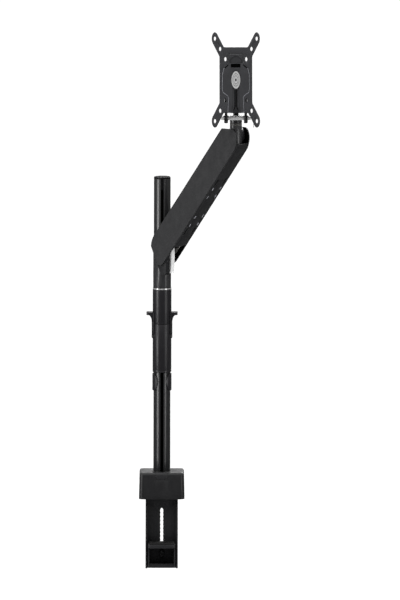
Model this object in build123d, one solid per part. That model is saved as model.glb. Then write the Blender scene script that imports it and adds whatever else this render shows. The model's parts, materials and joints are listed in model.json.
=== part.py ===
from build123d import *
import os
from math import cos, pi, radians, sin

# A lifting monitor arm on a round column with a desk clamp. Millimetres and degrees.
# The origin is on the column's axis at the desk surface, +Z is up, and the monitor faces -Y.

FIT = 0.05  # radial running clearance of pins, shafts and the sleeve
GAP = 0.3  # clearance between moving pieces that don't guide each other

# Column
POLE_R = 20.0
POLE_WALL = 3.0
POLE_FOOT_Z = 8.0
POLE_TOP_Z = 379.0
SLOT_W = 7.0
TROUGH_W = 12.0
TROUGH_DEPTH = 6.0
TROUGH_WALL = 1.8
SCREW_BOSS_X = 12.6
SCREW_BOSS_R = 5.0
SCREW_R = 2.9
CAP_H = 2.0

# Height sleeve and stop clip
SLEEVE_R = 22.3
SLEEVE_BORE_R = 21.0
SLEEVE_FOOT_Z = 148.0
SLEEVE_SPLIT_Z = 205.5
SLEEVE_SPLIT_GROOVE = 0.3
SLEEVE_TOP_Z = 246.5
BUSH_H = 14.0
WASHER_R = 21.9
WASHER_H = 1.5
CLIP_Z = 136.3
CLIP_H = 19.6
CLIP_R = 22.7
CLIP_END_ANGLE = 57.0

# Release levers
LEVER_IN_R = 22.6
LEVER_OUT_R = 24.6
LEVER_FOOT_Z = 193.5
LEVER_TOP_Z = 219.0
LEVER_HALF_ANGLE = 34.0
TAB_REACH = 37.0
TAB_T = 3.4
TAB_HALF_W = 10.0
TAB_FILLET = 8.0
LEVER_PIN_X = 22.6
LEVER_PIN_Z = 190.8
LEVER_PIN_R = 1.0
TONGUE_HALF_W = 6.0
WINDOW_Z = (207.0, 218.6)

# Desk clamp
COVER_BASE = (107.2, 78.0)
COVER_TOP = (104.6, 75.0)
COVER_H = 31.6
COVER_WALL = 2.5
COVER_CORNER = 10.0
COVER_FILLET = 3.6
PAD_T = 2.0
PLATE_T = 6.0
SOCKET_R = 26.0
SOCKET_TOP_Z = 20.0
SPINE_HALF_W = 38.0
SPINE_T = 4.0
SPINE_Y = 20.0
SPINE_TOP_Z = 19.0
SPINE_FOOT_Z = -84.0
FLANGE_DEPTH = 12.0
FLANGE_T = 4.0
SCALLOP_R = 3.6
SCALLOP_PITCH = 4.5
SCALLOP_TOP_Z = -17.5
SCALLOPS = 12
CLAMP_SCREW_Y = 29.6
CLAMP_SCREW_R = 4.0
JAW_HALF_W = 32.0
JAW_TOP_Z = -53.3
JAW_PLATE_T = 4.0
JAW_PAD_T = 1.5
JAW_REACH = 32.0
JAW_WALL = 3.0
JAW_FOOT_Z = -82.0
JAW_BOLT_R = 2.6

# Hub and arm; the arm frame has x along the arm, y across it and z up out of its top
ARM_YAW = 36.0
ARM_PITCH = 34.4
LIFT_TOP = 42.0
PIVOT_X = 7.0
PIVOT_Z = 294.0
ARM_LENGTH = 255.0
ARM_R = 21.25
ARM_HALF_W = 27.5
SKIN_T = 1.2
CHEEK_T = 3.0
CHANNEL_HALF_W = ARM_HALF_W - SKIN_T
PIN_HALF_W = CHANNEL_HALF_W - GAP
INNER_HALF_W = CHANNEL_HALF_W - CHEEK_T
HUB_R = 21.3
HUB_FOOT_Z = 248.3
HUB_TOP_Z = 306.0
TRUNNION_R = 5.5
BUSH_R = 7.0
TOP_WALL_X = (44.0, 222.0)
COVER_X = 40.0
COVER_WRAP = 30.0
COVER_SHEET_T = 2.0
END_CUT_RISE = 10.0
UPPER_END_FILLET = 12.0
LOWER_END = ((-14.6, 15.6), (-11.0, -13.0), (-4.0, -19.4), (4.0, -21.3))
LINK_DROP = 13.5
LINK_HALF_W = 3.2
LINK_Y = (21.3, 23.0)
LINK_PIN_R = 2.2

# Lift cam, an Archimedean spiral about the lower pivot, and its follower
CAM_HALF_W = 6.5
CAM_TOP_R = 20.5
CAM_RISE = 0.1  # radius gained per degree that the arm goes down
CAM_FROM = -20.0
CAM_TO = 52.0
CAM_FOOT = ((24.6, -14.0), (24.3, -19.0), (23.4, -26.5), (22.4, -27.5), (8.0, -27.5))
ROLLER_R = 6.0
ROLLER_PIN_R = 2.5
CAM_SLOPE_COS = 0.9728  # cosine of the spiral's slope at its middle radius
SPRING_R = 9.0
SPRING_WIRE_R = 1.4
SPRING_X = (71.8, 170.4)
SPRING_PITCH = 7.6
SEAT_X = 180.0
BLOCK_X = (198.0, 206.0)
TENSION_R = 4.0

# Knuckle and head; the head frame has its origin on the neck's axis
NECK_R = 14.5
KNUCKLE_TOP = 13.0
PAN_WASHER_T = 3.3
COLLAR_TOP_Z = 459.5
BAR_T = 4.0
BAR_HALF_W = 35.35
BAR_Y = (-30.0, -19.0)
LEVEL_SCREW_X = 23.5
LEVEL_SCREW_R = 3.2
TILT_Y = -23.0
TILT_Z = 488.0
TILT_R = 10.0
YOKE_X = (27.0, 31.0)
PLATE_Z = 509.3
PLATE_Y = (-47.0, -44.0)
PLATE_HALF_W = 39.3
PLATE_HALF_H = 39.6
EAR = 50.0
EAR_R = 7.8
HOLE_R = 2.5
PATTERNS = (50.0, 75.0, 100.0)
DISC_R = 10.7


def block(x, y, z):
    size = Box(x[1] - x[0], y[1] - y[0], z[1] - z[0])
    return Pos((x[0] + x[1]) / 2, (y[0] + y[1]) / 2, (z[0] + z[1]) / 2) * size


def post(r, z, at=(0, 0)):
    return Pos(at[0], at[1], (z[0] + z[1]) / 2) * Cylinder(r, z[1] - z[0])


def tube(outer, inner, z):
    return post(outer, z) - post(inner, (z[0] - 1, z[1] + 1))


def rod_x(r, x, at=(0, 0)):
    return Pos((x[0] + x[1]) / 2, at[0], at[1]) * Rot(0, 90, 0) * Cylinder(r, x[1] - x[0])


def rod_y(r, y, at=(0, 0)):
    return Pos(at[0], (y[0] + y[1]) / 2, at[1]) * Rot(90, 0, 0) * Cylinder(r, y[1] - y[0])


def sheet_xz(sketch, y):
    return Pos(0, y[1], 0) * extrude(Plane.XZ * sketch, y[1] - y[0])


def outline(*points):
    return make_face(Polyline(*points, close=True))


def both_sides(shape):
    return shape + mirror(shape, Plane.XZ)


def wedge(half_angle, reach, z):
    """A sector about the Z axis, centred on +X."""
    a = radians(half_angle)
    tip = (reach * cos(a), reach * sin(a))
    sector = outline((0, 0), tip, (reach, tip[1]), (reach, -tip[1]), (tip[0], -tip[1]))
    return Pos(0, 0, z[0]) * extrude(sector, z[1] - z[0])


def turn(angle):
    return Rot(0, 0, angle)


HUB = turn(-ARM_YAW)
ARM = HUB * Pos(PIVOT_X, 0, PIVOT_Z) * Rot(0, -ARM_PITCH, 0)
UPPER = (
    PIVOT_X + ARM_LENGTH * cos(radians(ARM_PITCH)),
    PIVOT_Z + ARM_LENGTH * sin(radians(ARM_PITCH)),
)
KNUCKLE = HUB * Pos(UPPER[0], 0, UPPER[1])
NECK_XY = (UPPER[0] * cos(radians(ARM_YAW)), -UPPER[0] * sin(radians(ARM_YAW)))
HEAD = Pos(NECK_XY[0], NECK_XY[1], 0)
COLLAR_Z = (UPPER[1] + KNUCKLE_TOP + PAN_WASHER_T + GAP, COLLAR_TOP_Z)
BAR_Z = (COLLAR_Z[1], COLLAR_Z[1] + BAR_T)
YOKE_Z = (BAR_Z[1] + 4.8, BAR_Z[1] + 8.8)

parts = {}


# ---------------------------------------------------------------- column

def pole_section():
    face = Circle(POLE_R) - Circle(POLE_R - POLE_WALL)
    trough_y = POLE_R - POLE_WALL - TROUGH_DEPTH / 2
    for side in (-1, 1):
        walls = Rectangle(TROUGH_W + 2 * TROUGH_WALL, TROUGH_DEPTH + 2 * TROUGH_WALL)
        face += (Pos(0, side * trough_y) * walls) & Circle(POLE_R)
        boss = Pos(side * SCREW_BOSS_X, 0)
        face += boss * Circle(SCREW_BOSS_R)
    for side in (-1, 1):
        face -= Pos(0, side * trough_y) * Rectangle(TROUGH_W, TROUGH_DEPTH)
        face -= Pos(0, side * POLE_R) * Rectangle(SLOT_W, 2 * POLE_WALL + 2)
        face -= Pos(side * SCREW_BOSS_X, 0) * Circle(SCREW_R + FIT)
    return face


def pole():
    length = POLE_TOP_Z - POLE_FOOT_Z
    return Pos(0, 0, POLE_FOOT_Z) * extrude(pole_section(), length)


def pole_cap():
    disc = post(POLE_R - 0.2, (POLE_TOP_Z, POLE_TOP_Z + CAP_H))
    disc = chamfer(disc.edges().group_by(Axis.Z)[-1], 0.8)
    tongue_w = SLOT_W / 2 - 0.2
    tongue = block((-tongue_w, tongue_w), (-POLE_R + 0.8, -14.4), (POLE_TOP_Z - 13, POLE_TOP_Z))
    plug = block((-5.6, 5.6), (-16.6, -11.4), (POLE_TOP_Z - 9, POLE_TOP_Z))
    return disc + tongue + plug


def pole_screws():
    screws = Part()
    for side in (-1, 1):
        at = (side * SCREW_BOSS_X, 0)
        screw = post(SCREW_R, (4.5, 32), at) + post(5.2, (PAD_T, 4.5), at)
        screws += screw - Pos(at[0], at[1], PAD_T + 0.75) * extrude(RegularPolygon(2.0, 6), 1.5, both=True)
    return screws


# ---------------------------------------------------------------- desk clamp

def base_plate():
    z = (PAD_T, PAD_T + PLATE_T)
    plate = block((-48, 48), (-35, 35), z)
    plate = fillet(plate.edges().filter_by(Axis.Z), 7)
    slot_w = SPINE_HALF_W + GAP
    plate -= block((-slot_w, slot_w), (SPINE_Y - GAP, SPINE_Y + SPINE_T + GAP), (z[0] - 1, z[1] + 1))
    for side in (-1, 1):
        at = (side * SCREW_BOSS_X, 0)
        plate -= post(3.2, (z[0] - 1, z[1] + 1), at)
        plate -= post(5.4, (z[0] - 1, 4.5), at)
    return plate


def desk_pad_upper():
    pad = block((-46, 46), (-34, 17), (0, PAD_T))
    return fillet(pad.edges().filter_by(Axis.Z), 5)


def cover_blank(inset, top_z):
    low = RectangleRounded(COVER_BASE[0] - 2 * inset, COVER_BASE[1] - 2 * inset, COVER_CORNER - inset)
    high = RectangleRounded(COVER_TOP[0] - 2 * inset, COVER_TOP[1] - 2 * inset, COVER_CORNER - inset)
    return loft([Pos(0, 0, 0.5) * low, Pos(0, 0, top_z) * high])


def inset_pocket(grow):
    x = 14 + grow
    front = block((-x, x), (-50, -31.5 + grow), (23.6 - grow, 40))
    return front


def clamp_cover():
    shell = cover_blank(0, COVER_H)
    shell = fillet(shell.edges().group_by(Axis.Z)[-1], COVER_FILLET)
    inner = cover_blank(COVER_WALL, COVER_H - COVER_WALL)
    shell -= inner
    shell -= post(POLE_R + 0.4, (10, 40))
    shell -= post(6.4, (10, 40), (0, CLAMP_SCREW_Y))
    shell -= inset_pocket(0.0) - inner
    lip = block((-16, 16), (-34.6, -29), (21.5, COVER_H - 1.2)) & cover_blank(1.3, COVER_H - 1.3)
    return shell + lip - inner


def cover_inset():
    body = cover_blank(-0.25, COVER_H + 0.25)
    body = fillet(body.edges().group_by(Axis.Z)[-1], COVER_FILLET + 0.25) & inset_pocket(-0.3)
    return body - cover_blank(1.4, COVER_H - 1.3) - cover_blank(COVER_WALL, COVER_H - COVER_WALL)


def pole_socket():
    foot = PAD_T + PLATE_T
    ring = tube(SOCKET_R, POLE_R, (foot, SOCKET_TOP_Z))
    ring -= block((-SOCKET_R, SOCKET_R), (SPINE_Y - GAP, SOCKET_R + 1), (foot - 1, SOCKET_TOP_Z + 1))
    return ring


def spine_slot():
    cut = Part()
    for i in range(SCALLOPS):
        z = SCALLOP_TOP_Z - i * SCALLOP_PITCH
        cut += rod_y(SCALLOP_R, (SPINE_Y - 1, SPINE_Y + SPINE_T + 1), (0, z))
    return cut


def spine():
    y = (SPINE_Y, SPINE_Y + SPINE_T)
    half = SPINE_HALF_W
    back = block((-half, half), y, (SPINE_FOOT_Z, SPINE_TOP_Z))
    back = fillet(back.edges().filter_by(Axis.Y), 2)
    for side in (-1, 1):
        x = sorted((side * half, side * (half - FLANGE_T)))
        flange = block(x, (SPINE_Y - FLANGE_DEPTH, SPINE_Y + 1), (SPINE_FOOT_Z, -8))
        lead = flange.edges().filter_by(Axis.X).group_by(Axis.Y)[0]
        back += fillet(lead, 5)
    return back - spine_slot()


def spine_nut():
    nut = block((-10, 10), (SPINE_Y + SPINE_T, 34.5), (11, 18))
    nut = fillet(nut.edges().filter_by(Axis.Z), 1.5)
    return nut - post(CLAMP_SCREW_R + FIT, (0, 30), (0, CLAMP_SCREW_Y))


def clamp_screw():
    at = (0, CLAMP_SCREW_Y)
    foot = PAD_T + PLATE_T
    screw = post(CLAMP_SCREW_R, (foot + 0.2, 26), at) + post(5.2, (24.6, 28.2), at)
    screw = chamfer(screw.edges().group_by(Axis.Z)[-1], 0.5)
    return screw - Pos(at[0], at[1], 28.2) * extrude(RegularPolygon(2.9, 6), 2.6, both=True)


def lower_jaw():
    back_y = SPINE_Y - GAP
    top = block((-JAW_HALF_W, JAW_HALF_W), (-JAW_REACH, back_y), (JAW_TOP_Z - JAW_PLATE_T, JAW_TOP_Z))
    top = fillet(top.edges().filter_by(Axis.Z).group_by(Axis.Y)[0], 6)
    jaw = top + block((-JAW_HALF_W, JAW_HALF_W), (back_y - JAW_WALL, back_y), (JAW_FOOT_Z, JAW_TOP_Z))
    profile = outline(
        (-JAW_REACH + 6, JAW_TOP_Z), (back_y, JAW_TOP_Z), (back_y, JAW_FOOT_Z),
        (back_y - 14, JAW_FOOT_Z), (-JAW_REACH + 6, JAW_TOP_Z - 14),
    )
    for side in (-1, 1):
        x = sorted((side * JAW_HALF_W, side * (JAW_HALF_W - JAW_WALL)))
        jaw += Pos(x[0], 0, 0) * extrude(Plane.YZ * profile, x[1] - x[0])
    jaw += block((-JAW_HALF_W, JAW_HALF_W), (back_y - 14, back_y), (JAW_FOOT_Z, JAW_FOOT_Z + 4))
    return jaw - rod_y(JAW_BOLT_R + 0.4, (10, 25), (0, jaw_bolt_z()))


def jaw_bolt_z():
    return SCALLOP_TOP_Z - (SCALLOPS - 1) * SCALLOP_PITCH


def jaw_pad():
    pad = block((-29, 29), (-JAW_REACH + 3, 8), (JAW_TOP_Z, JAW_TOP_Z + JAW_PAD_T))
    return fillet(pad.edges().filter_by(Axis.Z), 4)


def jaw_bolt():
    z = jaw_bolt_z()
    inner = SPINE_Y - GAP - JAW_WALL
    bolt = rod_y(JAW_BOLT_R, (inner, 33), (0, z)) + rod_y(4.6, (inner - 3.5, inner), (0, z))
    bolt = fillet(bolt.edges().group_by(Axis.Y)[0], 1.2)
    return bolt - Pos(0, inner - 3.5, z) * Rot(90, 0, 0) * extrude(RegularPolygon(2.4, 6), 2, both=True)


def jaw_knob():
    z = jaw_bolt_z()
    y = (SPINE_Y + SPINE_T + GAP, 36)
    knob = rod_y(11, y, (0, z)) + rod_y(7, (y[0], 38), (0, z))
    for i in range(10):
        a = 2 * pi * i / 10
        knob -= rod_y(1.6, (y[0] + 3, 37), (12 * cos(a), z + 12 * sin(a)))
    return knob - rod_y(JAW_BOLT_R, (y[0] - 1, 33), (0, z))


# ---------------------------------------------------------------- height sleeve

def stop_clip():
    z = (CLIP_Z - CLIP_H / 2, CLIP_Z + CLIP_H / 2)
    band = tube(CLIP_R, POLE_R + FIT, z)
    clip = band - turn(-90) * wedge(CLIP_END_ANGLE, 60, (z[0] - 1, z[1] + 1))
    for side in (-1, 1):
        end = rod_x(CLIP_H / 2, (5, 40), (0, CLIP_Z))
        clip += band & (turn(-90 + side * CLIP_END_ANGLE) * end)
    return clip


def lever_cut():
    """The lever's window and tongue slot through the sleeve, at +X."""
    window = block((15, 30), (-5.5, 5.5), WINDOW_Z)
    slot_w = TONGUE_HALF_W + GAP
    return window + block((15, 30), (-slot_w, slot_w), (187.6, LEVER_FOOT_Z + 0.9))


def parting_groove():
    z = (SLEEVE_SPLIT_Z - SLEEVE_SPLIT_GROOVE, SLEEVE_SPLIT_Z + SLEEVE_SPLIT_GROOVE)
    return tube(SLEEVE_R + 1, SLEEVE_R - 0.7, z)


def sleeve_lower():
    shell = tube(SLEEVE_R, SLEEVE_BORE_R, (SLEEVE_FOOT_Z, SLEEVE_SPLIT_Z))
    outer = shell.edges().filter_by(GeomType.CIRCLE).sort_by(SortBy.RADIUS)[-2:].sort_by(Axis.Z)
    shell = chamfer(outer[0], 0.45)
    groove_z = SLEEVE_FOOT_Z + 2.2
    shell -= tube(SLEEVE_R + 1, SLEEVE_R - 0.35, (groove_z, groove_z + 0.7))
    shell -= parting_groove()
    for side in (0, 180):
        shell -= turn(side) * lever_cut()
        for ear_y in ((6.4, 8.6), (-8.6, -6.4)):
            ear = block((18, 24.4), ear_y, (188.4, 192.9)) - post(SLEEVE_BORE_R, (150, 210))
            shell += turn(side) * chamfer(ear.edges().filter_by(Axis.Y).sort_by(Axis.X)[-2:], 0.9)
    for side in (-1, 1):
        shell -= rod_y(LEVER_PIN_R, (-10, 10), (side * LEVER_PIN_X, LEVER_PIN_Z))
    return shell


def sleeve_upper():
    shell = tube(SLEEVE_R, SLEEVE_BORE_R, (SLEEVE_SPLIT_Z, SLEEVE_TOP_Z))
    outer = shell.edges().filter_by(GeomType.CIRCLE).sort_by(SortBy.RADIUS)[-2:].sort_by(Axis.Z)
    shell = chamfer(outer[-1], 0.45) - parting_groove()
    for side in (0, 180):
        shell -= turn(side) * lever_cut()
    return shell


def glide_bushes():
    low = (SLEEVE_FOOT_Z + 1, SLEEVE_FOOT_Z + 1 + BUSH_H)
    high = (SLEEVE_TOP_Z - 1 - BUSH_H, SLEEVE_TOP_Z - 1)
    return sum((tube(SLEEVE_BORE_R, POLE_R + FIT, z) for z in (low, high)), Part())


def lever():
    """The lever at +X, hinged at its foot."""
    z = (LEVER_FOOT_Z, LEVER_TOP_Z)
    band = tube(LEVER_OUT_R, LEVER_IN_R, z) & wedge(LEVER_HALF_ANGLE, 60, z)
    tab = block((20, TAB_REACH), (-TAB_HALF_W, TAB_HALF_W), (LEVER_TOP_Z - TAB_T, LEVER_TOP_Z))
    tab = fillet(tab.edges().filter_by(Axis.Z).group_by(Axis.X)[-1], 5)
    flare_top = LEVER_TOP_Z - TAB_T
    flare = block((20, LEVER_OUT_R + TAB_FILLET), (-TAB_HALF_W, TAB_HALF_W), (flare_top - TAB_FILLET, flare_top))
    flare -= rod_y(TAB_FILLET, (-20, 20), (LEVER_OUT_R + TAB_FILLET, flare_top - TAB_FILLET))
    grip = tab + flare - post(LEVER_IN_R, (150, 250))
    tongue = block((20.6, LEVER_OUT_R), (-TONGUE_HALF_W, TONGUE_HALF_W), (188.6, LEVER_FOOT_Z))
    tongue = chamfer(tongue.edges().filter_by(Axis.Y).group_by(Axis.Z)[0], 0.8)
    return band + grip + tongue - rod_y(LEVER_PIN_R + FIT, (-10, 10), (LEVER_PIN_X, LEVER_PIN_Z))


def brake_pad():
    pad = block((19, LEVER_IN_R), (-5, 5), (208.5, 217.0))
    pad = pad & post(LEVER_IN_R, (200, 230))
    return pad - post(POLE_R + 0.1, (200, 230))


def lever_pins():
    pins = Part()
    for side in (-1, 1):
        pins += rod_y(LEVER_PIN_R, (-8.6, 8.6), (side * LEVER_PIN_X, LEVER_PIN_Z))
    return pins


# ---------------------------------------------------------------- hub

def hub():
    body = tube(HUB_R, POLE_R + FIT, (HUB_FOOT_Z, HUB_TOP_Z))
    at = (PIVOT_X, PIVOT_Z)
    near = rod_y(11, (-23.0, -10), at)
    far = rod_y(TRUNNION_R + 0.9, (10, 23.0), at) + rod_y(11, (10, 21.0), at)
    pins = rod_y(TRUNNION_R, (-PIN_HALF_W, -20), at) + rod_y(TRUNNION_R, (20, PIN_HALF_W), at)
    stud = rod_y(5.0, (14, 21.0), (PIVOT_X, PIVOT_Z - LINK_DROP))
    stud += rod_y(LINK_PIN_R, (20, 23.1), (PIVOT_X, PIVOT_Z - LINK_DROP))
    lug_line = Polyline((28, 267.5), (28, 290), (0, 290), (3, 277))
    lug_foot = ThreePointArc((3, 277), (11.5, 268.0), (22, 264.8))
    lug_face = make_face(lug_line + lug_foot + Line((22, 264.8), (28, 267.5)))
    lug = sheet_xz(lug_face, (-22.8, -7.0))
    lug = chamfer(lug.edges().filter_by(Axis.Z).group_by(Axis.X)[-1], 1.0)
    body += near + far + pins + stud + lug
    return body - post(POLE_R + FIT, (200, 340))


def cam_radius(angle):
    return CAM_TOP_R + CAM_RISE * (LIFT_TOP - angle)


def lift_cam():
    rim = []
    steps = 8
    for i in range(steps + 1):
        angle = CAM_FROM + (CAM_TO - CAM_FROM) * i / steps
        a = radians(angle)
        rim.append((PIVOT_X + cam_radius(angle) * cos(a), PIVOT_Z + cam_radius(angle) * sin(a)))
    foot = [(PIVOT_X + x, PIVOT_Z + z) for x, z in CAM_FOOT]
    back = Polyline(rim[-1], (PIVOT_X, PIVOT_Z), *reversed(foot), rim[0])
    cam = sheet_xz(make_face(Spline(*rim) + back), (-CAM_HALF_W, CAM_HALF_W))
    return cam - post(HUB_R, (200, 340))


# ---------------------------------------------------------------- arm

def arm_outline():
    length = ARM_LENGTH
    straight = Pos(length / 2, 0) * Rectangle(length, 2 * ARM_R)
    face = straight + Circle(ARM_R) + Pos(length, 0) * Circle(ARM_R)
    rise = END_CUT_RISE * cos(radians(ARM_PITCH))
    run = END_CUT_RISE * sin(radians(ARM_PITCH))
    cut = Pos(length + run, rise) * Rot(0, 0, -ARM_PITCH) * Pos(0, 40) * Rectangle(200, 80)
    face -= cut
    face -= outline((-40, 15.6), *LOWER_END, (4, -40), (-40, -40))
    face = fillet(face.vertices().filter_by(lambda v: v.X > length - 40 and v.Y > 5), 4)
    return fillet(face.vertices().sort_by(Axis.X)[-1], UPPER_END_FILLET)


def arm_channel():
    y = (INNER_HALF_W, CHANNEL_HALF_W)
    cheeks = both_sides(sheet_xz(arm_outline(), y))
    roof = block(TOP_WALL_X, (-INNER_HALF_W, INNER_HALF_W), (ARM_R - CHEEK_T, ARM_R))
    frame = cheeks + roof
    for x in (0, ARM_LENGTH):
        frame -= rod_y(BUSH_R, (-40, 40), (x, 0))
    return frame


def side_cover():
    cover = sheet_xz(arm_outline(), (CHANNEL_HALF_W, ARM_HALF_W))
    return chamfer(cover.faces().sort_by(Axis.Y)[-1].edges(), 0.5)


def slot_positions():
    return [(x, side * 16.0) for x in (75.0, 185.0) for side in (-1, 1)]


def clip_positions():
    return [(x, side * 15.5) for x in (90.0, 108.0, 153.0, 171.0) for side in (-1, 1)]


def lower_cover():
    z = (-ARM_R, -ARM_R + COVER_SHEET_T)
    half = INNER_HALF_W - GAP
    sheet = block((COVER_X, ARM_LENGTH), (-half, half), z)
    ring = Circle(ARM_R) - Circle(ARM_R - COVER_SHEET_T)
    a = radians(COVER_WRAP)
    wrap = ring & outline((0, 0), (0, -30), (30 * sin(a), -30), (30 * sin(a), -30 * cos(a)))
    sheet += Pos(ARM_LENGTH, 0, 0) * sheet_xz(wrap, (-half, half))
    for x, y in slot_positions():
        sheet -= Pos(x, y, z[0]) * extrude(SlotOverall(15, 5), 10, both=True)
    for x, y in clip_positions():
        sheet -= post(1.2, (z[0] - 1, z[1] + 1), (x, y))
    return sheet


def cover_clips():
    clips = Part()
    for x, y in clip_positions():
        head = block((x - 3, x + 3), (y - 1.3, y + 1.3), (-ARM_R - 0.6, -ARM_R))
        clips += fillet(head.edges().filter_by(Axis.Z), 1.2) + post(1.2, (-ARM_R, -ARM_R + 4), (x, y))
    return clips


def pivot_bushes(x):
    ring = rod_y(BUSH_R, (INNER_HALF_W, CHANNEL_HALF_W), (x, 0))
    return both_sides(ring - rod_y(TRUNNION_R + FIT, (0, 40), (x, 0)))


def lift_spring():
    """Drawn at the length it has with the arm fully down."""
    length = SPRING_X[1] - SPRING_X[0]
    line = Helix(SPRING_PITCH, length, SPRING_R)
    coil = sweep(Plane(line @ 0, z_dir=line % 0) * Circle(SPRING_WIRE_R), line)
    return Pos(SPRING_X[0], 0, 0) * Rot(0, 90, 0) * coil


def spring_seat():
    seat = rod_x(12.0, (SEAT_X, SEAT_X + 4)) + rod_x(6.5, (SEAT_X - 7, SEAT_X))
    return seat - rod_x(TENSION_R + FIT, (SEAT_X - 10, SEAT_X + 10))


def tension_block():
    far = LINK_Y[0] - 0.8
    wall = block(BLOCK_X, (-INNER_HALF_W, far), (-12, ARM_R - CHEEK_T))
    wall = fillet(wall.edges().filter_by(Axis.X).group_by(Axis.Z)[0], 3)
    return wall - rod_x(TENSION_R + FIT, (BLOCK_X[0] - 1, BLOCK_X[1] + 1))


def tension_screw():
    """Held in the block between its shoulder and its head, so the seat travels on its thread."""
    tip = SEAT_X - 18
    screw = rod_x(TENSION_R, (tip, BLOCK_X[1] + 1)) + rod_x(5.5, (BLOCK_X[0] - 3.3, BLOCK_X[0] - GAP))
    screw += rod_x(6.5, (BLOCK_X[1] + GAP, BLOCK_X[1] + 7))
    return screw - Pos(BLOCK_X[1] + 7, 0, 0) * Rot(0, 90, 0) * extrude(RegularPolygon(3.0, 6), 3, both=True)


def roller_x():
    return cam_radius(ARM_PITCH) + ROLLER_R / CAM_SLOPE_COS + 0.15


def plunger():
    x = roller_x()
    fork = block((x + ROLLER_R + 2, x + 18), (-9.4, 9.4), (-6, 6)) + rod_x(6.0, (x + 17, x + 84))
    fork += rod_x(12.0, (x + 32, x + 36))
    for side in (-1, 1):
        y = sorted((side * 6.7, side * 9.4))
        fork += block((x, x + 12), y, (-5, 5)) + rod_y(5.0, y, (x, 0))
    return fork + rod_y(ROLLER_PIN_R, (-9.4, 9.4), (x, 0))


def cam_roller():
    wheel = rod_y(ROLLER_R, (-6.35, 6.35), (roller_x(), 0))
    wheel = chamfer(wheel.edges().filter_by(GeomType.CIRCLE), 0.5)
    return wheel - rod_y(ROLLER_PIN_R + FIT, (-10, 10), (roller_x(), 0))


def levelling_link():
    """A flat bar between two pins that lie the same distance below the two pivots."""
    low = (PIVOT_X, PIVOT_Z - LINK_DROP)
    bar = Pos(ARM_LENGTH / 2, 0) * Rectangle(ARM_LENGTH, 2 * LINK_HALF_W)
    for x in (0, ARM_LENGTH):
        bar += Pos(x, 0) * Circle(LINK_HALF_W + 1.2)
    for x in (0, ARM_LENGTH):
        bar -= Pos(x, 0) * Circle(LINK_PIN_R + FIT)
    return Pos(low[0], 0, low[1]) * Rot(0, -ARM_PITCH, 0) * sheet_xz(bar, LINK_Y)


# ---------------------------------------------------------------- knuckle and head

def knuckle():
    """Upright block at the upper pivot; its frame has the pivot at the origin."""
    body = post(NECK_R, (-12.0, KNUCKLE_TOP))
    body = fillet(body.edges().group_by(Axis.Z)[0], 4)
    body += rod_y(10.5, (-23.0, 20.9))
    body += block((-5, 5), (4, 20.9), (-LINK_DROP - 4.6, 0))
    body += rod_y(LINK_PIN_R, (20, 23.1), (0, -LINK_DROP))
    body -= rod_y(TRUNNION_R, (-40, 40))
    return body - post(4.0, (6.4, 40))


def knuckle_pin():
    return rod_y(TRUNNION_R, (-PIN_HALF_W, PIN_HALF_W))


def pan_washer():
    return tube(NECK_R - 0.2, 4.0, (UPPER[1] + KNUCKLE_TOP, UPPER[1] + KNUCKLE_TOP + PAN_WASHER_T))


def pan_bolt():
    bolt = post(4.0, (UPPER[1] + 6.5, BAR_Z[1] + 4)) + post(6.5, (BAR_Z[1] + GAP, BAR_Z[1] + 4.3))
    bolt = chamfer(bolt.edges().group_by(Axis.Z)[-1], 0.6)
    return bolt - Pos(0, 0, BAR_Z[1] + 4.3) * extrude(RegularPolygon(3.0, 6), 3, both=True)


def neck_collar():
    collar = tube(NECK_R, 4.0 + FIT, COLLAR_Z)
    return chamfer(collar.edges().group_by(Axis.Z)[0].sort_by(SortBy.RADIUS)[-1], 0.5)


def head_bar():
    half = BAR_HALF_W
    bar = block((-half, half), BAR_Y, BAR_Z) + post(13.5, BAR_Z)
    bar += block((-11, 11), (BAR_Y[1] - 1, 0), BAR_Z)
    bar += block((half - 1, 42.9), (BAR_Y[0], BAR_Y[0] + 8), (BAR_Z[1] - 2, BAR_Z[1]))
    bar += block((40.9, 42.9), (BAR_Y[0], BAR_Y[0] + 8), (BAR_Z[0] - 9, BAR_Z[1]))
    bar -= post(4.0 + FIT, (400, 500))
    for side in (-1, 1):
        bar -= post(LEVEL_SCREW_R, (400, 500), (side * LEVEL_SCREW_X, BAR_Y[0]))
    return bar


def level_screws():
    screws = Part()
    for side in (-1, 1):
        at = (side * LEVEL_SCREW_X, BAR_Y[0])
        head = post(4.6, (BAR_Z[0] - 3.6, BAR_Z[0]), at)
        head = fillet(head.edges().group_by(Axis.Z)[0], 1.2)
        screws += head + post(LEVEL_SCREW_R, (BAR_Z[0] - 0.1, YOKE_Z[1]), at)
    return screws


def level_washers():
    washers = Part()
    for side in (-1, 1):
        at = (side * LEVEL_SCREW_X, BAR_Y[0])
        washers += post(6.2, (BAR_Z[1], BAR_Z[1] + 1.2), at) - post(LEVEL_SCREW_R, (400, 500), at)
    return washers


def tilt_yoke():
    yoke = block((-YOKE_X[1], YOKE_X[1]), (-35, -11), YOKE_Z)
    yoke = fillet(yoke.edges().filter_by(Axis.Z), 2)
    for side in (-1, 1):
        x = sorted((side * YOKE_X[0], side * YOKE_X[1]))
        yoke += block(x, (TILT_Y - 9, TILT_Y + 9), (YOKE_Z[0], TILT_Z)) + rod_x(9.0, x, (TILT_Y, TILT_Z))
        yoke -= post(LEVEL_SCREW_R, (400, 500), (side * LEVEL_SCREW_X, BAR_Y[0]))
    return yoke - rod_x(4.0, (-40, 40), (TILT_Y, TILT_Z))


def tilt_pin():
    return rod_x(4.0, (-33.5, 33.5), (TILT_Y, TILT_Z))


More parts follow.
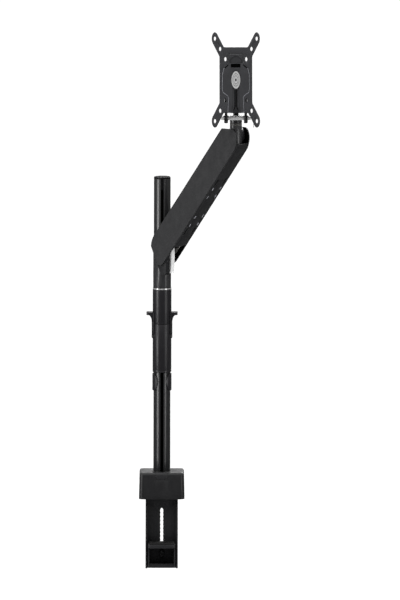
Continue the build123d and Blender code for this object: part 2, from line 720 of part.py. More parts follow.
def tilt_nuts():
    nuts = Part()
    for x in ((-35.5, -YOKE_X[1]), (YOKE_X[1], 35.5)):
        nut = Pos(x[0], TILT_Y, TILT_Z) * Rot(0, 90, 0) * extrude(RegularPolygon(7.0, 6), x[1] - x[0])
        nuts += nut - rod_x(4.0, (-33.5, 33.5), (TILT_Y, TILT_Z))
    return nuts


def tilt_block():
    half = YOKE_X[0] - 0.4
    body = rod_x(TILT_R, (-half, half), (TILT_Y, TILT_Z))
    body += block((-17, 17), (-36, -20), (TILT_Z, PLATE_Z + 13.7))
    body = fillet(body.edges().filter_by(Axis.Y).group_by(Axis.Z)[-1], 5)
    body -= rod_x(4.0 + FIT, (-40, 40), (TILT_Y, TILT_Z))
    body -= rod_y(5.0 + FIT, (-60, 0), (0, PLATE_Z))
    return body - rod_y(9.0, (-20.0 - 3.0, 0), (0, PLATE_Z))


def roll_spindle():
    at = (0, PLATE_Z)
    shaft = rod_y(5.0, (-43.7, -20), at) + rod_y(15.0, (-38.7, -36.3), at)
    return shaft + rod_y(8.5, (-20.0 - 3.0 + GAP, -18.0), at)


def adapter_plate():
    plate = block((-17, 17), (PLATE_Y[1] + 0.3, -38.7), (PLATE_Z - 30, PLATE_Z + 28))
    plate = fillet(plate.edges().filter_by(Axis.Y), 4)
    return plate - rod_y(5.0, (-60, 0), (0, PLATE_Z))


def relief_outline():
    """The moulded relief: a tall shield with sloping shoulders and a narrower foot."""
    right = [(17, 31.6), (17, 22), (29.5, 13.5), (32.5, 7), (33, -11), (31, -15.5), (24, -18)]
    right += [(19.3, -20), (18, -23), (20, -PLATE_HALF_H)]
    left = [(-x, z) for x, z in reversed(right)]
    face = outline(*right, *left)
    corners = face.vertices().filter_by(lambda v: v.Y > 25)
    return fillet(corners, 3.0)


def plate_outline():
    face = Rectangle(2 * PLATE_HALF_W, 2 * PLATE_HALF_H)
    for angle in (45, 135, 225, 315):
        reach = EAR * 2**0.5
        ear = Pos(reach / 2, 0) * Rectangle(reach, 2 * EAR_R) + Pos(reach, 0) * Circle(EAR_R)
        face += Rot(0, 0, angle) * ear
    inner = face.vertices().filter_by(lambda v: max(abs(v.X), abs(v.Y)) < 42)
    return fillet(inner, 4.0)


def monitor_plate():
    plate = sheet_xz(plate_outline(), PLATE_Y)
    plate -= sheet_xz(relief_outline(), (PLATE_Y[0] - 1, PLATE_Y[1] + 1))
    for size in PATTERNS:
        for x in (-size / 2, size / 2):
            for z in (-size / 2, size / 2):
                plate -= rod_y(HOLE_R, (PLATE_Y[0] - 1, PLATE_Y[1] + 1), (x, z))
    return Pos(0, 0, PLATE_Z) * plate


def plate_cover():
    front = PLATE_Y[0] - 0.8
    cover = sheet_xz(relief_outline(), (front, PLATE_Y[1] + 0.3))
    cover = chamfer(cover.faces().sort_by(Axis.Y)[0].edges(), 0.75)
    arch = (Pos(0, 5.6) * Circle(23.8)) & (Pos(0, 26.4) * Rectangle(31.4, 12))
    cover -= sheet_xz(arch, (front - 1, front + 2.0))
    cover -= sheet_xz(Pos(-0.5, 17.3) * Rectangle(23, 4.6), (front - 1, front + 2.6))
    for side in (-1, 1):
        slit = Pos(side * 22.1, 16.3) * Rot(0, 0, -side * 24.4) * SlotOverall(9.7, 1.8)
        cover -= sheet_xz(slit, (front - 1, front + 2.6))
    cover -= rod_y(DISC_R + 0.2, (front - 1, front + 1.6), (0, 0))
    channel = outline((-8, -9), (8, -9), (9, -30), (12, -41), (-12, -41), (-9, -30))
    cover -= sheet_xz(channel, (front - 1, front + 1.8))
    for side in (-1, 1):
        cover -= sheet_xz(Pos(side * 2.2, -22.6) * Rectangle(2.6, 20.8), (front - 1, front + 3.0))
        pocket = outline((side * 1.4, -33.4), (side * 4.0, -33.4), (side * 6.6, -38.2), (side * 1.4, -38.2))
        cover -= sheet_xz(pocket, (front - 1, front + 3.0))
    return Pos(0, 0, PLATE_Z) * cover


def centre_disc():
    front = PLATE_Y[0] - 1.6
    disc = rod_y(DISC_R, (front, PLATE_Y[0] + 0.8), (0, 0))
    disc = fillet(disc.edges().group_by(Axis.Y)[0], 0.5)
    for r in (7.8, 5.2):
        groove = rod_y(r, (front - 1, front + 0.35)) - rod_y(r - 0.5, (front - 2, front + 1))
        disc -= groove
    disc -= Pos(0, front, 0) * Rot(90, 0, 0) * extrude(RegularPolygon(1.9, 6), 1.8, both=True)
    return Pos(0, 0, PLATE_Z) * disc


def release_latch():
    """A rib with a flared pull, held by a tongue in the cover's channel."""
    front = PLATE_Y[0] - 0.6
    back = PLATE_Y[0] + 0.7
    rib = block((-0.6, 0.6), (front, back), (-34, -13.4))
    pull = sheet_xz(outline((-1.0, -33), (1.0, -33), (6.5, -38.9), (-6.5, -38.9)), (front - 0.6, front + 0.2))
    return Pos(0, 0, PLATE_Z) * (rib + pull)


def build():
    parts.update(
        base_plate=base_plate(), desk_pad_upper=desk_pad_upper(), clamp_cover=clamp_cover(),
        cover_inset=cover_inset(), pole_socket=pole_socket(), pole=pole(),
        pole_screws=pole_screws(), pole_cap=pole_cap(),
        spine=spine(), spine_nut=spine_nut(), clamp_screw=clamp_screw(), lower_jaw=lower_jaw(),
        jaw_pad=jaw_pad(), jaw_bolt=jaw_bolt(), jaw_knob=jaw_knob(),
        stop_clip=stop_clip(), sleeve_lower=sleeve_lower(), sleeve_upper=sleeve_upper(),
        glide_bushes=glide_bushes(), lever_pins=lever_pins(),
        swivel_washer=tube(WASHER_R, POLE_R + FIT, (SLEEVE_TOP_Z, SLEEVE_TOP_Z + WASHER_H)),
        lever_right=lever(), lever_left=turn(180) * lever(),
        brake_pad_right=brake_pad(), brake_pad_left=turn(180) * brake_pad(),
        hub=HUB * hub(), lift_cam=HUB * lift_cam(), levelling_link=HUB * levelling_link(),
    )
    cover = side_cover()
    in_arm = dict(
        arm_channel=arm_channel(), side_cover_far=cover, side_cover_near=mirror(cover, Plane.XZ),
        lower_cover=lower_cover(), cover_clips=cover_clips(), lower_bushes=pivot_bushes(0),
        upper_bushes=pivot_bushes(ARM_LENGTH), lift_spring=lift_spring(), spring_seat=spring_seat(),
        tension_block=tension_block(), tension_screw=tension_screw(), plunger=plunger(),
        cam_roller=cam_roller(),
    )
    for name, shape in in_arm.items():
        parts[name] = ARM * shape
    parts.update(knuckle=KNUCKLE * knuckle(), knuckle_pin=KNUCKLE * knuckle_pin())
    in_head = dict(
        pan_washer=pan_washer(), pan_bolt=pan_bolt(), neck_collar=neck_collar(), head_bar=head_bar(),
        level_screws=level_screws(), level_washers=level_washers(), tilt_yoke=tilt_yoke(),
        tilt_pin=tilt_pin(), tilt_nuts=tilt_nuts(), tilt_block=tilt_block(), roll_spindle=roll_spindle(),
        adapter_plate=adapter_plate(), monitor_plate=monitor_plate(), plate_cover=plate_cover(),
        centre_disc=centre_disc(), release_latch=release_latch(),
    )
    for name, shape in in_head.items():
        parts[name] = HEAD * shape


build()
os.makedirs("parts", exist_ok=True)
for name, shape in parts.items():
    export_step(shape, os.path.join("parts", name + ".step"))
print(len(parts), "parts")
print("upper pivot", UPPER, "neck", NECK_XY, "roller", roller_x())
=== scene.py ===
import json
from math import cos, radians, sin, sqrt

import bmesh
import bpy
from mathutils import Matrix, Vector


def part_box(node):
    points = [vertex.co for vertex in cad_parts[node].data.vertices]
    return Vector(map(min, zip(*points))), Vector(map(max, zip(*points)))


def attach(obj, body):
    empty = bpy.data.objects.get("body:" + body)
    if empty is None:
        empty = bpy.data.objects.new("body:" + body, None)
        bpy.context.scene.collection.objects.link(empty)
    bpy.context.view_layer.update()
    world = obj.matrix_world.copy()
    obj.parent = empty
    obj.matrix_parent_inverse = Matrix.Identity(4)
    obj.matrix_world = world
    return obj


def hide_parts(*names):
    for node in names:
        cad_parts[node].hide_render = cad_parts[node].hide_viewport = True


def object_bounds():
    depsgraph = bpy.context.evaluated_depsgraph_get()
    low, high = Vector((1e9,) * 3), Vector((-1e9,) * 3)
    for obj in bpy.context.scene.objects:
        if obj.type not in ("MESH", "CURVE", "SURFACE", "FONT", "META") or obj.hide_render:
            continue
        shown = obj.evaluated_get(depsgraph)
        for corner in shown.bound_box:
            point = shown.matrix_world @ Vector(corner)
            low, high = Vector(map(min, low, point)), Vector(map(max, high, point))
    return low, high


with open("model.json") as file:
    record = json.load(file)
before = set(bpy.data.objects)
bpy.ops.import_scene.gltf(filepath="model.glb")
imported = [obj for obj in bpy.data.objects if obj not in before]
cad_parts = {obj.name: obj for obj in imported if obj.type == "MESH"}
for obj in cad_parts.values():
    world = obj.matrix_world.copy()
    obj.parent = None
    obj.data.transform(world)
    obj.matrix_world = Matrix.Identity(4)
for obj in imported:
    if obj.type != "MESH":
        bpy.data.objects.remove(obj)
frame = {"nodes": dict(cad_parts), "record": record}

CAD_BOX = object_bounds()
BODY_OF = {n: b for b, ns in frame["record"]["behaviour"]["bodies"].items() for n in ns}
SLOT_OF = {p["node"]: p["material_slot"] for p in frame["record"]["subparts"]}
MM = 0.001
FULL_TURN = 6.2832
COLOUR_A, COLOUR_B, COLOUR_OUT = 6, 7, 2
RUBBED_EDGE = 0.7 * MM
FINE_EDGE = 0.5 * MM
CREVICE_REACH = 12 * MM
RING_PITCH = 0.45 * MM


def middle(node):
    low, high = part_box(node)
    return (low + high) / 2


# ------------------------------------------------------------------ node materials

class Shader:
    """A small helper that builds one node material around a Principled shader."""

    def __init__(self, name):
        self.material = bpy.data.materials.new(name)
        self.material.use_nodes = True
        self.tree = self.material.node_tree
        self.shader = self.tree.nodes["Principled BSDF"]
        self.coords = self.add("ShaderNodeTexCoord").outputs["Object"]

    def add(self, kind, **settings):
        node = self.tree.nodes.new(kind)
        for key, value in settings.items():
            setattr(node, key, value)
        return node

    def join(self, source, socket):
        if isinstance(source, bpy.types.NodeSocket):
            self.tree.links.new(source, socket)
        else:
            socket.default_value = source

    def set(self, **values):
        for key, value in values.items():
            self.shader.inputs[key.replace("_", " ")].default_value = value

    def scaled(self, scale, offset=(0, 0, 0), turn=(0, 0, 0)):
        node = self.add("ShaderNodeMapping")
        self.join(self.coords, node.inputs["Vector"])
        node.inputs["Location"].default_value = offset
        node.inputs["Rotation"].default_value = turn
        node.inputs["Scale"].default_value = scale
        return node.outputs["Vector"]

    def noise(self, scale, detail=3.0, roughness=0.5, vector=None):
        node = self.add("ShaderNodeTexNoise")
        self.join(vector or self.coords, node.inputs["Vector"])
        node.inputs["Scale"].default_value = scale
        node.inputs["Detail"].default_value = detail
        node.inputs["Roughness"].default_value = roughness
        return node.outputs["Fac"]

    def cells(self, scale):
        node = self.add("ShaderNodeTexVoronoi", feature="F1")
        self.join(self.coords, node.inputs["Vector"])
        node.inputs["Scale"].default_value = scale
        return node.outputs["Distance"]

    def remap(self, value, low, high, to_low, to_high):
        node = self.add("ShaderNodeMapRange")
        self.join(value, node.inputs["Value"])
        node.inputs["From Min"].default_value = low
        node.inputs["From Max"].default_value = high
        node.inputs["To Min"].default_value = to_low
        node.inputs["To Max"].default_value = to_high
        return node.outputs["Result"]

    def math(self, operation, a, b=0.0):
        node = self.add("ShaderNodeMath", operation=operation)
        self.join(a, node.inputs[0])
        self.join(b, node.inputs[1])
        return node.outputs["Value"]

    def mix(self, factor, a, b):
        node = self.add("ShaderNodeMix", data_type="RGBA")
        self.join(factor, node.inputs["Factor"])
        self.join(a, node.inputs[COLOUR_A])
        self.join(b, node.inputs[COLOUR_B])
        return node.outputs[COLOUR_OUT]

    def edges(self, radius, sharp=0.75):
        """1 along convex and concave edges, 0 on the faces between them."""
        bevel = self.add("ShaderNodeBevel", samples=6)
        bevel.inputs["Radius"].default_value = radius
        geometry = self.add("ShaderNodeNewGeometry")
        dot = self.add("ShaderNodeVectorMath", operation="DOT_PRODUCT")
        self.join(bevel.outputs["Normal"], dot.inputs[0])
        self.join(geometry.outputs["Normal"], dot.inputs[1])
        return self.remap(dot.outputs["Value"], 0.995, sharp, 0.0, 1.0)

    def crevices(self, reach):
        """1 deep in corners and gaps, 0 on open faces."""
        node = self.add("ShaderNodeAmbientOcclusion", samples=4)
        node.inputs["Distance"].default_value = reach
        return self.remap(node.outputs["AO"], 0.35, 0.9, 1.0, 0.0)

    def bump(self, height, distance, strength=1.0, after=None):
        node = self.add("ShaderNodeBump")
        self.join(height, node.inputs["Height"])
        node.inputs["Distance"].default_value = distance
        node.inputs["Strength"].default_value = strength
        if after is not None:
            self.join(after, node.inputs["Normal"])
        return node.outputs["Normal"]


def rgb(value, tint=(1, 1, 1)):
    return tuple(value * t for t in tint) + (1.0,)


def coated(name, base, rough, tint=(1, 1, 1), grain=0.00025, depth=0.00003, patch=0.12,
           wear=0.5, worn=4.0, specular=0.5, metallic=0.0, orange_peel=0.0):
    """Paint, powder coat or grained moulding: mottled colour, grain, rubbed edges, and painted
    shade that darkens corners and gaps."""
    s = Shader(name)
    cloud = s.noise(22, 4, 0.6)
    speck = s.noise(1 / grain, 2, 0.6)
    colour = s.mix(s.remap(cloud, 0.3, 0.7, 0, 1),
                   rgb(base * (1 - patch), tint), rgb(base * (1 + patch), tint))
    colour = s.mix(s.remap(speck, 0.62, 0.8, 0, 0.35), colour, rgb(base * 1.9, tint))
    broken = s.remap(s.noise(420, 3, 0.7), 0.42, 0.66, 0.15, 1.0)
    rubbed = s.math("MULTIPLY", s.math("MULTIPLY", s.edges(RUBBED_EDGE), broken), wear)
    colour = s.mix(rubbed, colour, rgb(base * worn, tint))
    # Painted shade: the colour is darkened in the corners and gaps that ambient occlusion finds.
    painted_crevice_shade = s.math("MULTIPLY", s.crevices(CREVICE_REACH), 0.8)
    colour = s.mix(painted_crevice_shade, colour, rgb(base * 0.2, tint))
    s.join(colour, s.shader.inputs["Base Color"])
    roughness = s.remap(s.noise(70, 5, 0.65), 0.3, 0.7, rough - 0.07, rough + 0.07)
    roughness = s.math("SUBTRACT", roughness, s.math("MULTIPLY", rubbed, 0.18))
    s.join(roughness, s.shader.inputs["Roughness"])
    normal = s.bump(s.cells(1 / grain), depth)
    if orange_peel:
        normal = s.bump(s.noise(900, 2, 0.4), orange_peel, after=normal)
    s.join(normal, s.shader.inputs["Normal"])
    s.set(Metallic=metallic, Specular_IOR_Level=specular)
    return s.material


def brushed(name, base, rough, along, tint):
    """Bare metal with fine lines along one direction, light stains and rubbed edges."""
    s = Shader(name)
    stretch = tuple(40 if a else 2600 for a in along)
    lines = s.noise(1.0, 4, 0.6, vector=s.scaled(stretch))
    cloud = s.noise(35, 4, 0.6)
    colour = s.mix(s.remap(cloud, 0.35, 0.7, 0, 1), rgb(base, tint), rgb(base * 0.8, tint))
    colour = s.mix(s.remap(lines, 0.3, 0.7, 0, 0.35), colour, rgb(base * 0.72, tint))
    rim = s.math("MULTIPLY", s.edges(FINE_EDGE), 0.4)
    colour = s.mix(rim, colour, rgb(min(1.0, base * 1.35), tint))
    s.join(colour, s.shader.inputs["Base Color"])
    s.join(s.remap(lines, 0.25, 0.75, rough - 0.08, rough + 0.1), s.shader.inputs["Roughness"])
    s.join(s.bump(lines, 0.01 * MM, 0.7), s.shader.inputs["Normal"])
    s.set(Metallic=1.0)
    return s.material


def turned(name, base, centre, rough, metallic):
    """Metal turned on a lathe about an axis along Y through centre: fine concentric lines."""
    s = Shader(name)
    moved = s.scaled((1, 0, 1), offset=(-centre.x, 0, -centre.z))
    length = s.add("ShaderNodeVectorMath", operation="LENGTH")
    s.join(moved, length.inputs[0])
    radius = s.math("ADD", length.outputs["Value"], s.math("MULTIPLY", s.noise(120, 2), 0.00012))
    rings = s.math("SINE", s.math("MULTIPLY", radius, FULL_TURN / RING_PITCH))
    fine = s.math("SINE", s.math("MULTIPLY", radius, FULL_TURN / (RING_PITCH * 0.37)))
    ridge = s.math("ADD", rings, s.math("MULTIPLY", fine, 0.5))
    colour = s.mix(s.remap(ridge, -1.5, 1.5, 0, 1), rgb(base * 0.82), rgb(base))
    colour = s.mix(s.remap(s.noise(160, 4), 0.45, 0.75, 0, 0.4), colour, rgb(base * 0.7))
    s.join(colour, s.shader.inputs["Base Color"])
    roughness = s.remap(s.noise(300, 3), 0.3, 0.7, rough - 0.06, rough + 0.08)
    s.join(roughness, s.shader.inputs["Roughness"])
    s.join(s.bump(ridge, 0.000012, 0.6), s.shader.inputs["Normal"])
    s.set(Metallic=metallic)
    return s.material


def extruded(name, base, rough, tint):
    """Black anodised extrusion: faint die lines along Z and hair scratches across it."""
    s = Shader(name)
    die = s.noise(1.0, 3, 0.5, vector=s.scaled((900, 900, 4)))
    scratch = s.noise(1.0, 2, 0.5, vector=s.scaled((60, 60, 1500), turn=(0.2, 0.1, 0)))
    cloud = s.noise(14, 4, 0.6)
    colour = s.mix(s.remap(cloud, 0.3, 0.7, 0, 1), rgb(base * 0.85, tint), rgb(base * 1.2, tint))
    colour = s.mix(s.remap(die, 0.55, 0.75, 0, 0.3), colour, rgb(base * 1.8, tint))
    hair = s.remap(scratch, 0.68, 0.76, 0, 0.35)
    colour = s.mix(hair, colour, rgb(base * 3, tint))
    rim = s.math("MULTIPLY", s.edges(FINE_EDGE), 0.5)
    colour = s.mix(rim, colour, rgb(base * 5, tint))
    s.join(colour, s.shader.inputs["Base Color"])
    s.join(s.remap(die, 0.3, 0.7, rough - 0.05, rough + 0.08), s.shader.inputs["Roughness"])
    s.join(s.bump(die, 0.00002, 0.6), s.shader.inputs["Normal"])
    s.set(Metallic=0.0, Specular_IOR_Level=0.6)
    return s.material


def rubbery(name, base):
    """Dull ribbed rubber with patches of pale dust."""
    s = Shader(name)
    cloud = s.noise(60, 5, 0.7)
    colour = s.mix(s.remap(cloud, 0.4, 0.75, 0, 1), rgb(base), rgb(base * 1.9))
    s.join(colour, s.shader.inputs["Base Color"])
    s.join(s.remap(cloud, 0.3, 0.7, 0.72, 0.9), s.shader.inputs["Roughness"])
    wave = s.add("ShaderNodeTexWave", bands_direction="X")
    s.join(s.coords, wave.inputs["Vector"])
    wave.inputs["Scale"].default_value = 160
    normal = s.bump(wave.outputs["Fac"], 0.00025, 0.8)
    s.join(s.bump(s.noise(2500, 2), 0.00002, after=normal), s.shader.inputs["Normal"])
    s.set(Metallic=0.0, Specular_IOR_Level=0.15)
    return s.material


COOL = (0.97, 0.98, 1.08)
VIOLET = (1.0, 0.94, 1.14)
WARM = (1.0, 0.97, 0.9)

LOOKS = {
    "black_shell": coated("moulded_black", 0.010, 0.5, COOL, grain=0.0005, depth=0.00004, worn=7,
                          specular=0.2),
    "black_trim": coated("moulded_trim", 0.012, 0.48, COOL, grain=0.0005, depth=0.00003, worn=4,
                         specular=0.25),
    "rubber": rubbery("ribbed_rubber", 0.01),
    "black_steel": coated("powder_black", 0.013, 0.42, COOL, grain=0.0004, depth=0.00003,
                          worn=8, orange_peel=0.00005, specular=0.22),
    "pole_black": extruded("anodised_black", 0.008, 0.28, COOL),
    "charcoal": coated("powder_charcoal", 0.011, 0.5, COOL, grain=0.0003, depth=0.00003, worn=4,
                       patch=0.06, orange_peel=0.00005, specular=0.22),
    "sleeve_plastic": coated("satin_charcoal", 0.008, 0.34, VIOLET, grain=0.0004, depth=0.000012,
                             patch=0.08, worn=5, specular=0.3),
    "polymer": coated("bearing_polymer", 0.06, 0.42, WARM, grain=0.0006, depth=0.00001, worn=1.2),
    "clip_plastic": coated("pale_clip", 0.25, 0.4, COOL, grain=0.0005, depth=0.00002, worn=1.5),
    "bright_steel": coated("turned_bright_steel", 0.42, 0.26, grain=0.0004, depth=0.000008,
                           worn=1.4, patch=0.1, metallic=0.55),
    "pale_steel": coated("plated_bar", 0.5, 0.36, grain=0.0005, depth=0.00001, worn=1.3, patch=0.06,
                         metallic=0.35),
    "zinc": brushed("zinc_plate", 0.45, 0.32, along=(0, 0, 1), tint=(1.0, 0.99, 0.94)),
    "black_screw": coated("black_oxide", 0.005, 0.34, COOL, grain=0.0003, depth=0.00001, worn=12,
                          wear=0.6, specular=0.3),
    "cast": coated("coated_casting", 0.014, 0.34, COOL, grain=0.0007, depth=0.00002, worn=5,
                   specular=0.7),
    "cam_face": coated("machined_face", 0.74, 0.38, grain=0.0005, depth=0.00001, worn=1.1,
                       patch=0.05, metallic=0.15),
    "disc_metal": turned("turned_disc", 0.42, middle("centre_disc"), 0.36, metallic=0.25),
    "bronze": brushed("sintered_bronze", 0.42, 0.4, along=(0, 1, 0), tint=(1.0, 0.72, 0.38)),
}
# RECESS and SHADED_STEEL are darker than what surrounds them, to deepen the shade of gaps and of
# the space under the jaw.
RECESS = coated("shaded_recess", 0.0015, 0.7, grain=0.0006, depth=0.00002, worn=2, specular=0.03)
PLATE = coated("plate_powder_coat", 0.028, 0.46, COOL, grain=0.0004, depth=0.00003, worn=5,
               orange_peel=0.00005, specular=0.3)
RELIEF = coated("moulded_relief", 0.026, 0.46, COOL, grain=0.0005, depth=0.00003, specular=0.3)
SHADED_STEEL = coated("shaded_powder_black", 0.008, 0.55, COOL, grain=0.0004, depth=0.00003, worn=8,
                      specular=0.08)
# Lighter rim of the relief: rubbed wear together with a painted highlight along its sloping faces.
WORN_AND_HIGHLIT_RIM = coated("worn_and_highlit_rim", 0.2, 0.4, COOL, grain=0.0005, depth=0.00002, worn=1.3)
COVER = coated("moulded_cover", 0.008, 0.4, COOL, grain=0.0005, depth=0.00003, worn=6, specular=0.3)
CAP = coated("moulded_cap", 0.004, 0.6, COOL, grain=0.0005, depth=0.00003, worn=6, specular=0.05)


# ------------------------------------------------------------------ finished pieces

def weld(mesh, gap=0.00002):
    work = bmesh.new()
    work.from_mesh(mesh)
    bmesh.ops.remove_doubles(work, verts=work.verts, dist=gap)
    bmesh.ops.dissolve_degenerate(work, dist=gap / 2, edges=work.edges)
    work.to_mesh(mesh)
    work.free()


def smooth_by_angle(obj, angle):
    with bpy.context.temp_override(object=obj, active_object=obj, selected_objects=[obj],
                                   selected_editable_objects=[obj]):
        bpy.ops.object.shade_smooth_by_angle(angle=angle)


SMOOTH_ANGLE = radians(32)


def rounded(node, width):
    """A copy of a CAD node with its sharp edges rolled over, which stands for the node."""
    source = frame["nodes"][node]
    mesh = source.data.copy()
    piece = bpy.data.objects.new(node + "_finished", mesh)
    bpy.context.scene.collection.objects.link(piece)
    weld(mesh)
    bevel = piece.modifiers.new("edges", "BEVEL")
    bevel.width = width
    bevel.segments = 2
    bevel.limit_method = "ANGLE"
    bevel.angle_limit = SMOOTH_ANGLE
    bevel.use_clamp_overlap = True
    bevel.miter_outer = "MITER_ARC"
    bpy.context.view_layer.update()
    graph = bpy.context.evaluated_depsgraph_get()
    shaped = bpy.data.meshes.new_from_object(piece.evaluated_get(graph))
    piece.modifiers.clear()
    piece.data = shaped
    smooth_by_angle(piece, SMOOTH_ANGLE)
    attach(piece, BODY_OF[node])
    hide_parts(node)
    return piece


ROUNDED = {
    "clamp_cover": 0.5, "cover_inset": 0.25, "spine": 0.6, "lower_jaw": 0.6, "jaw_pad": 0.4,
    "desk_pad_upper": 0.4, "base_plate": 0.5, "jaw_knob": 0.6, "pole_cap": 0.3,
    "arm_channel": 0.4, "lower_cover": 0.35, "head_bar": 0.5, "tilt_yoke": 0.6,
    "tilt_block": 0.8, "adapter_plate": 0.6, "monitor_plate": 0.45, "knuckle": 0.7,
    "hub": 0.6, "lever_left": 0.4, "lever_right": 0.4, "stop_clip": 0.35, "tilt_nuts": 0.4,
    "levelling_link": 0.3, "plunger": 0.3, "tension_block": 0.4, "pole": 0.2, "plate_cover": 0.2,
    "centre_disc": 0.1, "sleeve_lower": 0.15, "sleeve_upper": 0.15,
}


ARM_YAW = radians(36)
SLOT_HALF_WIDTH = 6.3 * MM
SLOT_WALL_RADIUS = 19.6 * MM
RELIEF_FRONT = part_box("plate_cover")[0].y
RELIEF_DEPTH = 2.2 * MM
RELIEF_SLOPE_DEPTH = 0.8 * MM
RELIEF_MIDDLE = 16 * MM
CHEEK_INSIDE = 23.4 * MM
DISC_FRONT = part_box("centre_disc")[0].y
DISC_FACE_DEPTH = 0.15 * MM
HEAD_X = middle("centre_disc").x
SHOULDER_Z = middle("centre_disc").z + 14 * MM
PARTING_Z = 0.2055
PARTING_HALF_HEIGHT = 0.45 * MM
GROOVE_RADIUS = 22.25 * MM
LUG_TOP_Z = 0.291
LUG_INNER_RADIUS = 21.6 * MM
LUG_MIDDLE = 6.5 * MM
JAW_TOP_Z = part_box("lower_jaw")[1].z
JAW_PLATE = 3 * MM
JAW_BACK_Y = 16 * MM


def shade(piece, material, inside):
    """Gives a second material to the faces whose middle is inside the stated region."""
    piece.data.materials.append(material)
    for face in piece.data.polygons:
        if inside(face.center):
            face.material_index = 1


def across_arm(point):
    """How far a point is from the arm's middle plane, which is turned about the column."""
    return abs(point.x * sin(ARM_YAW) + point.y * cos(ARM_YAW))


def in_column_slot(point):
    return abs(point.x) < SLOT_HALF_WIDTH and point.xy.length < SLOT_WALL_RADIUS


def behind_relief(point):
    return point.y > RELIEF_FRONT + RELIEF_DEPTH


def inside_arm(point):
    return across_arm(point) < CHEEK_INSIDE


def in_disc_groove(point):
    return point.y > DISC_FRONT + DISC_FACE_DEPTH


def in_parting_line(point):
    return abs(point.z - PARTING_Z) < PARTING_HALF_HEIGHT and point.xy.length < GROOVE_RADIUS


def in_lug(point):
    outside_tube = point.xy.length > LUG_INNER_RADIUS
    return point.z < LUG_TOP_Z and outside_tube and across_arm(point) >= LUG_MIDDLE


def under_jaw(point):
    return point.y > JAW_BACK_Y and point.z < JAW_TOP_Z - JAW_PLATE


def on_sloping_rim(face):
    sloping = -0.93 < face.normal.y < -0.3
    outer = abs(face.center.x - HEAD_X) > RELIEF_MIDDLE
    near_front = face.center.y < RELIEF_FRONT + RELIEF_SLOPE_DEPTH
    return sloping and outer and near_front and face.center.z < SHOULDER_Z


def outline_relief(piece):
    """Gives a third, lighter material to the sloping rim of the relief, below its shoulders: rubbed
    wear together with a painted highlight.
    """
    piece.data.materials.append(WORN_AND_HIGHLIT_RIM)
    for face in piece.data.polygons:
        if on_sloping_rim(face):
            face.material_index = 2


def dress():
    pieces = dict(frame["nodes"])
    for node, width in ROUNDED.items():
        pieces[node] = rounded(node, width * MM)
    for node, piece in pieces.items():
        piece.data.materials.clear()
        piece.data.materials.append(LOOKS[SLOT_OF[node]])
    pieces["plate_cover"].data.materials[0] = RELIEF
    pieces["monitor_plate"].data.materials[0] = PLATE
    pieces["clamp_cover"].data.materials[0] = COVER
    pieces["pole_cap"].data.materials[0] = CAP
    shade(pieces["pole"], RECESS, in_column_slot)
    shade(pieces["plate_cover"], RECESS, behind_relief)
    shade(pieces["arm_channel"], RECESS, inside_arm)
    shade(pieces["sleeve_lower"], RECESS, in_parting_line)
    shade(pieces["sleeve_upper"], RECESS, in_parting_line)
    shade(pieces["hub"], LOOKS["charcoal"], in_lug)
    shade(pieces["lower_jaw"], SHADED_STEEL, under_jaw)
    outline_relief(pieces["plate_cover"])
    shade(pieces["centre_disc"], RECESS, in_disc_groove)
    for node in set(frame["nodes"]) - set(ROUNDED):
        smooth_by_angle(frame["nodes"][node], SMOOTH_ANGLE)


dress()


# ------------------------------------------------------------------ studio

MIDDLE = (0.05, 0.0, 0.24)
SKY_LOW = 0.16
SKY_HIGH = 1.35
SKY_DIM_BELOW = 0.15
SKY_FULL_ABOVE = 0.6
SKY_SEEN = 1.1
WHITE = (1.0, 1.0, 1.0, 1.0)
STRIP_DISTANCE = 3
STRIP_HEIGHT = 2.6
FLOOR_HALF_WIDTH = 160.0
FLOOR_DROP = 0.3


def soft_light(name, place, size, power):
    """A rectangular light aimed at the middle of the object."""
    light = bpy.data.lights.new(name, "AREA")
    light.shape = "RECTANGLE"
    light.size, light.size_y = size
    light.energy = power
    obj = bpy.data.objects.new(name, light)
    bpy.context.scene.collection.objects.link(obj)
    obj.location = place
    obj.rotation_euler = (Vector(MIDDLE) - Vector(place)).to_track_quat("-Z", "Y").to_euler()


def strip_light(name, azimuth, width, power):
    """A tall narrow light, level with the object, that draws an upright streak on round pieces."""
    a = radians(azimuth)
    place = (STRIP_DISTANCE * sin(a), -STRIP_DISTANCE * cos(a), MIDDLE[2])
    soft_light(name, place, (width, STRIP_HEIGHT), power)


def soft_sky():
    """Bright overhead and dim towards the horizon, so upright faces mirror little of it.
    Where nothing stands in front of it, the camera sees it as an even white backdrop."""
    world = bpy.data.worlds.new("studio")
    world.use_nodes = True
    tree = world.node_tree
    coords = tree.nodes.new("ShaderNodeTexCoord")
    split = tree.nodes.new("ShaderNodeSeparateXYZ")
    ramp = tree.nodes.new("ShaderNodeMapRange")
    tree.links.new(coords.outputs["Generated"], split.inputs["Vector"])
    tree.links.new(split.outputs["Z"], ramp.inputs["Value"])
    brightness = {"From Min": SKY_DIM_BELOW, "From Max": SKY_FULL_ABOVE,
                  "To Min": SKY_LOW, "To Max": SKY_HIGH}
    for socket, value in brightness.items():
        ramp.inputs[socket].default_value = value
    sky = tree.nodes["Background"]
    tree.links.new(ramp.outputs["Result"], sky.inputs["Strength"])
    backdrop = tree.nodes.new("ShaderNodeBackground")
    backdrop.inputs["Strength"].default_value = SKY_SEEN
    for node in (sky, backdrop):
        node.inputs["Color"].default_value = WHITE
    seen = tree.nodes.new("ShaderNodeLightPath")
    mixed = tree.nodes.new("ShaderNodeMixShader")
    tree.links.new(seen.outputs["Is Camera Ray"], mixed.inputs[0])
    tree.links.new(sky.outputs["Background"], mixed.inputs[1])
    tree.links.new(backdrop.outputs["Background"], mixed.inputs[2])
    tree.links.new(mixed.outputs["Shader"], tree.nodes["World Output"].inputs["Surface"])
    return world


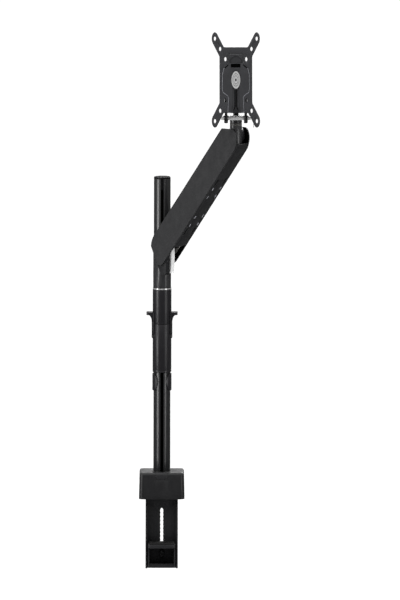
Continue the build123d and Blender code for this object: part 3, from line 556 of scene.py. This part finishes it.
def studio():
    """A floor well below the object, which touches nothing, and four lights round the object.
    The floor is left out of reflections."""
    low = CAD_BOX[0]
    size = FLOOR_HALF_WIDTH
    mesh = bpy.data.meshes.new("floor")
    corners = [(-size, -size, 0), (size, -size, 0), (size, size, 0), (-size, size, 0)]
    mesh.from_pydata(corners, [], [(0, 1, 2, 3)])
    floor = bpy.data.objects.new("floor", mesh)
    floor.location = (0, 0, low[2] - FLOOR_DROP)
    bpy.context.scene.collection.objects.link(floor)
    s = Shader("studio_floor")
    s.join(s.mix(s.noise(0.6, 2), rgb(0.93), rgb(0.96)), s.shader.inputs["Base Color"])
    s.set(Roughness=0.9, Specular_IOR_Level=0.1)
    mesh.materials.append(s.material)
    floor.visible_glossy = False
    bpy.context.scene.world = soft_sky()
    strip_light("strip_left", -60, 0.8, 60)
    strip_light("strip_right", 50, 0.6, 28)
    soft_light("top", (0.0, -0.4, 2.8), (1.6, 1.6), 20)
    soft_light("rim", (0.7, 2.2, 1.7), (1.6, 0.8), 24)


ELEVATION = radians(4.0)
DISTANCE = 42.0
SQUEEZE = 0.5005
LENS = 25.25 * DISTANCE
AIM = Vector((0.0901, 0.0, 0.2330))
SENSOR_WIDTH = 36
CLIP_NEAR = 0.1
CLIP_FAR = 400


def photo_camera():
    """A far camera, 4 degrees up. Its up axis leans along the line of sight, which squeezes the
    picture sideways as much as the photographed object is squeezed."""
    back = Vector((0, -cos(ELEVATION), sin(ELEVATION)))
    right = Vector((1, 0, 0))
    leaning = SQUEEZE * back.cross(right) + sqrt(1 - SQUEEZE**2) * back
    place = AIM + back * DISTANCE
    rows = [(right[i], leaning[i], back[i], place[i]) for i in range(3)]
    data = bpy.data.cameras.new("camera")
    data.sensor_width = SENSOR_WIDTH
    data.lens = LENS
    data.clip_start = CLIP_NEAR
    data.clip_end = CLIP_FAR
    camera = bpy.data.objects.new("camera", data)
    rig = bpy.data.objects.new("camera_rig", None)
    for obj in (camera, rig):
        bpy.context.scene.collection.objects.link(obj)
    camera.parent = rig
    camera.matrix_parent_inverse = Matrix((*rows, (0, 0, 0, 1)))
    bpy.context.scene.camera = camera


studio()
photo_camera()
bpy.context.scene.view_settings.view_transform = "Standard"
bpy.context.view_layer.update()
